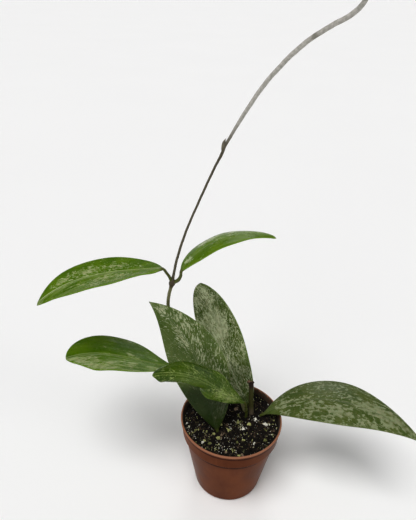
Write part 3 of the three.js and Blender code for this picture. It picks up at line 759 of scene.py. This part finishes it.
def shoot_material():
    """Brown-green at the foot, dark on the vine, and grey with down past the bud, with one dark scar."""
    n = Nodes("shoot")
    height = n.layer("height_mm")
    fibre = n.remap(n.noise(n.coords(), 900, 3), 0.3, 0.7)
    n.coat(fibre, (0.12, 0.12, 0.05), (0.19, 0.18, 0.09))
    joint = n.mix(fibre, (0.044, 0.032, 0.016), (0.078, 0.06, 0.03))
    vine = n.mix(fibre, (0.056, 0.049, 0.029), (0.11, 0.096, 0.06))
    young = n.mix(fibre, (0.31, 0.3, 0.265), (0.47, 0.45, 0.415))
    for (low, high), color in zip(SHOOT_AGES, (joint, vine, young)):
        n.tint(color, height, low, high)
    n.tint((0.13, 0.125, 0.095), n.apart(height, SCAR_HEIGHT), 1.1, 0.2, 0.6)
    return n.finish(n.remap(fibre, 0.3, 0.7, 0.5, 0.7), 0.35, n.bump(fibre, 0.12 * MM, 0.5))


def add_stub():
    x, y = STUB_PLACE
    route = [(x, y, SOIL_LEVEL - STUB_ROOT), (x, y, SOIL_LEVEL),
             (x + STUB_BEND[0], y + STUB_BEND[1], (SOIL_LEVEL + STUB_TOP) / 2),
             (x + STUB_LEAN[0], y + STUB_LEAN[1], STUB_TOP)]
    points, even = catmull(route, STUB_STATIONS)
    angle = ring_angles(STUB_SIDES)
    share = (even / even[-1])[:, None]
    wobble = 0.1 * np.sin(2 * angle + share * 3) + 0.05 * np.sin(7 * angle + share * 9)
    rings = tube_rings(points, STUB_RADIUS - STUB_TAPER * share[:, 0], STUB_SIDES, wobble)
    ragged = 0.5 * np.sin(2 * angle + 0.6) + 0.25 * np.sin(5 * angle)
    rings[-1, :, 2] += ragged
    rings[-2, :, 2] += ragged * 0.6
    place = ring_points(rings)
    piece = add_mesh("stub_stem", place, ring_faces(len(points), STUB_SIDES), {"height_mm": place[:, 2]},
                     stub_material())
    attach(piece, "root")
    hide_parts("old_stem_stub")
    add_stub_crown()


def add_stub_crown():
    """The withered knobs left on the stub's cut end."""
    knobs = []
    for seed, (x, y, z, size) in enumerate(STUB_KNOBS):
        place = (STUB_PLACE[0] + x, STUB_PLACE[1] + y, STUB_TOP + z)
        knobs.append(lump(size, place, (1, 0.9, 0.8), seed + 3, 3))
    points, faces = joined(knobs)
    piece = add_mesh("stub_crown", points, faces, {"height_mm": points[:, 2]}, stub_material())
    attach(piece, "root")


def stub_material():
    """Olive bark that dries to a dark red-brown cut, with paler withered tips."""
    n = Nodes("stub")
    height = n.layer("height_mm")
    x, y, z = n.split(n.coords())
    grain = n.noise(n.join(x, y, n.times(z, 0.2)), 1600, 3)
    n.coat(grain, (0.02, 0.022, 0.003), (0.075, 0.072, 0.014))
    n.tint((0.13, 0.1, 0.065), height, 50, 43)
    n.tint((0.022, 0.01, 0.006), height, STUB_TOP - 5, STUB_TOP - 1.5)
    n.tint((0.14, 0.086, 0.052), height, STUB_TOP + 0.7, STUB_TOP + 1.2)
    return n.finish(0.75, 0.3, n.bump(grain, 0.2 * MM, 0.6))


# ---------- pot ----------

def pot_inside(z):
    if z >= COLLAR_FOOT + WALL:
        share = (z - COLLAR_FOOT) / COLLAR_HEIGHT
        return COLLAR_FOOT_RADIUS + (RIM_RADIUS - COLLAR_FOOT_RADIUS) * share - WALL
    share = min((z - BASE_CHAMFER) / (BODY_TOP - BASE_CHAMFER), 1)
    return BODY_FOOT_RADIUS + (BODY_TOP_RADIUS - BODY_FOOT_RADIUS) * share - WALL


def turned(profile, sides):
    """Rings round the pot's axis, from (radius, height) pairs."""
    angles = ring_angles(sides)
    return np.array([[(r * math.cos(a), r * math.sin(a), z) for a in angles] for r, z in profile])


def rounded(corners, bend, steps=5):
    """A profile whose inner corners are turned into short arcs of about that bend."""
    corners = [np.array(c, float) for c in corners]
    path = [corners[0]]
    for before, corner, after in zip(corners, corners[1:], corners[2:]):
        a, b = (corner + unit(end - corner) * min(bend, np.linalg.norm(end - corner) * 0.45)
                for end in (before, after))
        for x in np.linspace(0, 1, steps):
            path.append((1 - x) ** 2 * a + 2 * x * (1 - x) * corner + x ** 2 * b)
    path.append(corners[-1])
    return path


def add_pot():
    """The pot as one turned skin, from the middle of its base over the lip to the middle of its floor."""
    lip_foot = POT_HEIGHT - LIP_ROUND
    profile = rounded([
        (0, 0), (BASE_RADIUS, 0), (BODY_FOOT_RADIUS, BASE_CHAMFER), (BODY_TOP_RADIUS, BODY_TOP),
        (COLLAR_FOOT_RADIUS - COLLAR_EDGE[0], COLLAR_FOOT),
        (COLLAR_FOOT_RADIUS, COLLAR_FOOT + COLLAR_EDGE[1]),
        (RIM_RADIUS - 0.35, POT_HEIGHT - 1.6), (RIM_RADIUS - 0.02, POT_HEIGHT - 1.2),
        (RIM_RADIUS, lip_foot), (RIM_RADIUS - LIP_ROUND, POT_HEIGHT),
        (RIM_RADIUS - WALL + LIP_ROUND, POT_HEIGHT), (pot_inside(POT_HEIGHT), lip_foot),
        (pot_inside(COLLAR_FOOT + WALL), COLLAR_FOOT + WALL), (pot_inside(BODY_TOP), BODY_TOP),
        (pot_inside(FLOOR), FLOOR), (0, FLOOR),
    ], POT_BEND)
    points = np.vstack([turned(profile[1:-1], POT_SIDES).reshape(-1, 3), [(0, 0, 0), (0, 0, FLOOR)]])
    piece = add_mesh("pot_shell", points, ring_faces(len(profile) - 2, POT_SIDES))
    cut_drains(piece)
    piece.data.materials.append(pot_material())
    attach(piece, "root")
    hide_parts("pot")


def cut_drains(piece):
    """The ring of drain holes, cut through the base."""
    sides = DRAIN_SIDES
    bore = turned([(DRAIN_RADIUS, -2), (DRAIN_RADIUS, FLOOR + 2)], sides).reshape(-1, 3)
    faces = [(j, (j + 1) % sides, sides + (j + 1) % sides, sides + j) for j in range(sides)]
    faces += [tuple(reversed(range(sides))), tuple(range(sides, 2 * sides))]
    bores = []
    for k in range(DRAIN_COUNT):
        angle = 2 * math.pi * (k + 0.5) / DRAIN_COUNT
        bores.append((bore + (DRAIN_RING * math.cos(angle), DRAIN_RING * math.sin(angle), 0), faces))
    cutter = add_mesh("drain_cutter", *joined(bores))
    modifier = piece.modifiers.new("drains", "BOOLEAN")
    modifier.operation = "DIFFERENCE"
    modifier.object = cutter
    bpy.context.view_layer.update()
    cut = bpy.data.meshes.new_from_object(piece.evaluated_get(bpy.context.evaluated_depsgraph_get()))
    piece.modifiers.clear()
    piece.data = cut
    bpy.data.objects.remove(cutter)


def pot_material():
    """Thin moulded terracotta-brown plastic: scuffs, painted lip highlight, painted shade in its grooves."""
    n = Nodes("pot_plastic")
    coords = n.coords()
    x, y, z = n.split(coords)
    cloud = n.noise(coords, 65, 3)
    streak = n.noise(n.join(x, y, n.times(z, 0.08)), 700)
    dust = n.noise(coords, 420, 4, 0.7)
    n.coat(n.remap(cloud, 0.3, 0.7), (0.102, 0.031, 0.012), (0.158, 0.053, 0.022))
    n.tint((0.19, 0.065, 0.028), streak, 0.5, 0.75, 0.2)
    # Painted highlight: the lip is paler where its top faces the light.
    n.tint((0.36, 0.175, 0.105), z, LIP_HIGHLIGHT[0] * MM, LIP_HIGHLIGHT[1] * MM, 0.8)
    n.tint((0.2, 0.09, 0.05), dust, 0.64, 0.78, 0.2)
    # Painted shade: dark lines under the lip and under the collar, broken up by the dust noise.
    for middle, reach in PAINTED_SHADE_LINES:
        painted_shade = n.times(n.remap(n.apart(z, middle * MM), reach * MM, 0), n.remap(dust, 0.3, 0.6, 0.6, 1))
        n.color = n.mix(painted_shade, n.color, (0.02, 0.004, 0.002))
    from_axis = n.math("SQRT", n.math("ADD", n.times(x, x), n.times(y, y)))
    slope = (RIM_RADIUS - COLLAR_FOOT_RADIUS) / COLLAR_HEIGHT
    outside = n.math("ADD", n.times(z, slope), (COLLAR_FOOT_RADIUS - slope * COLLAR_FOOT) * MM)
    depth = n.math("SUBTRACT", outside, from_axis)
    low, high = INSIDE_DUST
    inside = n.times(n.remap(depth, 0.7 * WALL * MM, 0.95 * WALL * MM), n.remap(z, low * MM, high * MM))
    n.color = n.mix(n.times(inside, n.remap(dust, 0.35, 0.55, 0.3, 1)), n.color, (0.064, 0.049, 0.034))
    rings = n.math("SINE", n.times(z, 5200))
    height = n.math("MULTIPLY_ADD", rings, 0.15, n.math("ADD", dust, streak))
    roughness = n.remap(cloud, 0.3, 0.7, 0.3, 0.44)
    return n.finish(roughness, 0.02, n.bump(height, 0.04 * MM, 0.5), Sheen_Weight=0.06, Sheen_Roughness=0.3)


# ---------- compost ----------

SOIL_EDGE = pot_inside(SOIL_LEVEL) - GAP


def soil_height(x, y):
    out = np.hypot(x, y) / SOIL_EDGE
    waves = sum(strength * np.sin(x * along_x + y * along_y + start)
                for strength, along_x, along_y, start in SOIL_WAVES)
    return SOIL_LEVEL + SOIL_RELIEF / 2 * waves * (1 - out ** 4)


def crumb_height(x, y):
    """The compost's fine crumbs on top of its broad lumps."""
    value = 0.55 * noise.noise(Vector((x * 0.9, y * 0.9, 3.1)))
    value += 0.35 * noise.noise(Vector((x * 2.3, y * 2.3, 7.7)))
    value += 0.16 * abs(noise.noise(Vector((x * 5.5, y * 5.5, 1.2))))
    return value


def soil_surface(x, y):
    return float(soil_height(x, y)) + crumb_height(x, y)


def add_soil():
    """The compost: a crumbly top over a plain fill that follows the pot's inside."""
    lowest = FLOOR + GAP
    sides = SOIL_GRID * 2
    fill = [(0.02, lowest), (pot_inside(lowest) - GAP, lowest), (pot_inside(BODY_TOP) - GAP, BODY_TOP),
            (pot_inside(COLLAR_FOOT + WALL) - GAP, COLLAR_FOOT + WALL + GAP)]
    surface = turned([(SOIL_EDGE * i / SOIL_GRID, 0) for i in range(SOIL_GRID, 0, -1)], sides)
    surface[..., 2] = [[soil_surface(x, y) for x, y, _ in ring] for ring in surface]
    rings = np.concatenate([turned(fill, sides), surface])
    piece = add_mesh("compost", ring_points(rings), ring_faces(len(rings), sides), None, compost_material())
    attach(piece, "root")
    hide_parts("soil")


def compost_material():
    n = Nodes("compost")
    coords = n.coords()
    coarse = n.noise(coords, 700, 4, 0.65)
    fine = n.noise(coords, 2600, 3, 0.6)
    n.coat(n.remap(coarse, 0.35, 0.7), (0.003, 0.002, 0.0015), (0.016, 0.011, 0.007))
    n.tint((0.05, 0.035, 0.02), fine, 0.6, 0.75, 0.4)
    height = n.math("MULTIPLY_ADD", fine, 0.5, coarse)
    return n.finish(0.9, 0.25, n.bump(height, 0.5 * MM, 0.8))


def lump(size, place, squash, seed, detail):
    """Points and faces of one irregular grain."""
    points, faces = icosphere(detail)
    moved = []
    for p in points:
        spot = Vector(p) * 1.5 + Vector((seed * 7.1, seed * 3.3, seed))
        bump = 1 + 0.75 * noise.noise(spot) + 0.4 * noise.noise(spot * 2.3)
        moved.append(np.array(p) * bump * size * squash)
    return np.array(moved) @ random_turn(seed).T + place, faces


_spheres = {}


def icosphere(detail):
    if detail not in _spheres:
        mesh = bmesh.new()
        bmesh.ops.create_icosphere(mesh, subdivisions=detail, radius=1)
        mesh.verts.ensure_lookup_table()
        points = [tuple(v.co) for v in mesh.verts]
        faces = [tuple(v.index for v in f.verts) for f in mesh.faces]
        mesh.free()
        _spheres[detail] = (points, faces)
    return _spheres[detail]


def random_turn(seed):
    source = random.Random(seed)
    turn = np.eye(3)
    for axis in range(3):
        angle = source.uniform(0, 2 * math.pi)
        a, b = (axis + 1) % 3, (axis + 2) % 3
        step = np.eye(3)
        step[a, a] = step[b, b] = math.cos(angle)
        step[b, a] = math.sin(angle)
        step[a, b] = -step[b, a]
        turn = turn @ step
    return turn


def cad_grains():
    """The grains that stand on the solid compost, from the source's own repeatable draw."""
    state = GRAIN_SEED

    def draw():
        nonlocal state
        state = (state * 1664525 + 1013904223) % 4294967296
        return state / 4294967296

    stems = [STUB_PLACE, SHOOT_ROUTE[1]]
    stems += [LEAVES[name]["stalk"][0] for name in LEAVES_IN_SOIL]
    grains = []
    while len(grains) < GRAIN_COUNT:
        angle = draw() * 2 * math.pi
        out = math.sqrt(draw()) * (SOIL_EDGE - GRAIN_EDGE)
        radius = GRAIN_RADIUS[0] + (GRAIN_RADIUS[1] - GRAIN_RADIUS[0]) * draw() ** 2
        draw()  # the source turns the grain by this
        x, y = out * math.cos(angle), out * math.sin(angle)
        off_stems = clear_of(stems, x, y, GRAIN_STEM_CLEARANCE + radius)
        off_grains = all(math.hypot(g[0] - x, g[1] - y) > g[2] + GRAIN_SPACING + radius for g in grains)
        if off_stems and off_grains:
            grains.append((x, y, radius))
    return grains


def add_grains(name, rows, detail, material):
    """One mesh of many grains. Each row is (place, size, squash, tint)."""
    grains = []
    tints = []
    for seed, (place, size, squash, tint) in enumerate(rows):
        grains.append(lump(size, place, squash, seed + len(name), detail))
        tints += [tint] * len(grains[-1][0])
    piece = add_mesh(name, *joined(grains), {"tint": tints}, material)
    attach(piece, "root")


def random_spot(edge):
    angle = rng.uniform(0, 2 * math.pi)
    out = math.sqrt(rng.random()) * edge
    return out * math.cos(angle), out * math.sin(angle)


def clear_of(places, x, y, gap):
    return all(math.hypot(place[0] - x, place[1] - y) > gap for place in places)


def add_compost_grains():
    """All the grains: a quarter of the solid's own are perlite and the rest bark, then the finer ones."""
    edge = SOIL_EDGE - LOOSE_EDGE
    bark = []
    perlite = []
    for index, (x, y, radius) in enumerate(cad_grains()):
        place = (x, y, soil_height(x, y) + radius * 0.25)
        if index % 4:
            bark.append((place, radius, GRAIN_SHAPE, rng.uniform(0, 0.94)))
        else:
            perlite.append((place, radius, GRAIN_SHAPE, rng.uniform(0.4, 1)))
    for x, y, size, slimness, tint in BIG_PERLITE:
        for share in CLUSTER:
            size_here = 0.75 * size * share
            x_here = x + rng.uniform(-1.6, 1.6) * (1 - share) * size
            y_here = y + rng.uniform(-1.6, 1.6) * (1 - share) * size
            perlite.append(((x_here, y_here, soil_surface(x_here, y_here) + size_here * 0.35), size_here,
                            (1, slimness, slimness), tint))
    add_grains("bark_lumps", bark, 3, peat_material())
    add_grains("perlite_large", perlite, 3, perlite_material())
    add_grains("perlite_small", perlite_crumbs(edge), 2, perlite_material())
    crumbs = []
    while len(crumbs) < PEAT_COUNT:
        x, y = random_spot(edge)
        size = rng.uniform(*PEAT_SIZES)
        if clear_of(STEM_PLACES, x, y, PEAT_CLEARANCE):
            crumbs.append(((x, y, soil_surface(x, y) + size * 0.15), size, PEAT_SHAPE, rng.random()))
    add_grains("peat_crumbs", crumbs, 2, peat_material())
    add_fibres(edge)


def perlite_crumbs(edge):
    """Small perlite: loose crumbs, and clumps that share one tint."""
    crumbs = []

    def drop(x, y, size, tint):
        if math.hypot(x, y) < edge and clear_of(STEM_PLACES, x, y, PERLITE_CLEARANCE):
            crumbs.append(((x, y, soil_surface(x, y) + size * 0.2), size, PERLITE_SHAPE, tint))

    for _ in range(PERLITE_COUNT):
        drop(*random_spot(edge), rng.uniform(*PERLITE_SIZES), rng.random() ** 1.6)
    for _ in range(CLUMP_COUNT):
        x, y = random_spot(edge)
        tint = rng.uniform(0.1, 0.95)
        for _ in range(rng.randint(4, 14)):
            spot = [middle + rng.gauss(0, CLUMP_SPREAD) for middle in (x, y)]
            drop(*spot, rng.uniform(*CLUMP_SIZES), tint)
    return crumbs


def add_fibres(edge):
    """Loose root and coir threads lying on the compost."""
    threads = []
    for _ in range(FIBRE_COUNT):
        x, y = random_spot(edge - 2)
        heading = rng.uniform(0, 2 * math.pi)
        bend = rng.uniform(-0.25, 0.25)
        route = []
        for _ in range(7):
            route.append((x, y, soil_surface(x, y) + rng.uniform(0.05, 0.35)))
            heading += bend + rng.uniform(-0.25, 0.25)
            x += math.cos(heading) * FIBRE_STEP
            y += math.sin(heading) * FIBRE_STEP
            if math.hypot(x, y) > edge:
                break
        if len(route) < 4:
            continue
        line, _ = catmull(route, FIBRE_STATIONS)
        rings = tube_rings(line, np.linspace(*FIBRE_RADII, FIBRE_STATIONS), FIBRE_SIDES)
        threads.append((ring_points(rings), ring_faces(FIBRE_STATIONS, FIBRE_SIDES)))
    piece = add_mesh("fibres", *joined(threads), None, fibre_material())
    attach(piece, "root")


def perlite_material():
    """Cream foamed grains, some of them tinted by algae."""
    n = Nodes("perlite")
    tint = n.layer("tint")
    pores = n.noise(n.coords(), 2200, 3, 0.6)
    n.coat(n.remap(tint, 0.25, 0.4), (0.82, 0.8, 0.7), (0.52, 0.52, 0.22))
    n.tint((0.2, 0.21, 0.07), tint, 0.62, 0.7)
    n.tint((0.3, 0.22, 0.15), tint, 0.84, 0.9)
    n.tint((0.12, 0.095, 0.05), pores, 0.45, 0.7, 0.55)
    return n.finish(0.85, 0.3, n.bump(pores, 0.25 * MM, 0.7))


def peat_material():
    n = Nodes("peat")
    tint = n.layer("tint")
    grain = n.noise(n.coords(), 2400, 3)
    n.coat(tint, (0.003, 0.002, 0.0015), (0.018, 0.012, 0.008))
    n.tint((0.07, 0.045, 0.025), tint, 0.88, 0.96)
    n.tint((0.03, 0.02, 0.012), grain, 0.55, 0.75, 0.4)
    return n.finish(0.9, 0.25, n.bump(grain, 0.2 * MM, 0.6))


def fibre_material():
    n = Nodes("fibre")
    grain = n.noise(n.coords(), 500)
    n.coat(n.remap(grain, 0.35, 0.65), (0.05, 0.032, 0.018), (0.17, 0.12, 0.07))
    return n.finish(0.8, 0.3, n.bump(grain, 0.05 * MM, 0.4))


# ---------- stage and light ----------

def add_stage():
    """A pale floor that runs out to the horizon."""
    sides = FLOOR_SIDES
    points = np.vstack([*turned([(radius, 0) for radius in FLOOR_RINGS], sides), (0, 0, 0)])
    faces = []
    for k in range(sides):
        after = (k + 1) % sides
        faces.append((len(points) - 1, k, after))
        for first in (0, sides):
            faces.append((first + k, first + sides + k, first + sides + after, first + after))
    n = Nodes("floor")
    n.coat(n.noise(n.coords(), 3), (0.885, 0.88, 0.875), (0.905, 0.9, 0.895))
    floor = add_mesh("floor", points, faces, None, n.finish(0.9, 0.1))


def add_sun(name, from_direction, spread, strength):
    """A far softbox: even light from one direction, as wide as spread degrees."""
    data = bpy.data.lights.new(name, "SUN")
    data.energy = strength
    data.angle = math.radians(spread)
    lamp = bpy.data.objects.new(name, data)
    lamp.rotation_euler = Vector(from_direction).to_track_quat("Z", "Y").to_euler()
    bpy.context.scene.collection.objects.link(lamp)


def add_world():
    """Soft surroundings, paler at the horizon than overhead."""
    n = Nodes("world", bpy.data.worlds)
    rise = n.split(n.coords("Generated"))["Z"]
    inputs = n.tree.nodes["Background"].inputs
    n.set(inputs["Strength"], n.remap(rise, 0, 0.5, HORIZON_LIGHT, ZENITH_LIGHT))
    n.set(inputs["Color"], (0.97, 0.98, 1))
    bpy.context.scene.world = n.owner


def add_lighting():
    add_world()
    for name, values in SUNS.items():
        add_sun(name, *values)
    settings = bpy.context.scene.view_settings
    settings.view_transform = "Standard"
    settings.look = "None"
    settings.gamma = VIEW_GAMMA


# ---------- build ----------

add_camera()
add_stage()
add_lighting()
add_pot()
add_soil()
add_compost_grains()
add_stub()
add_shoot()
add_bud()
for index, (leaf_name, leaf_sizes) in enumerate(LEAVES.items()):
    add_leaf(leaf_name, leaf_sizes, SEED_STEP * index)
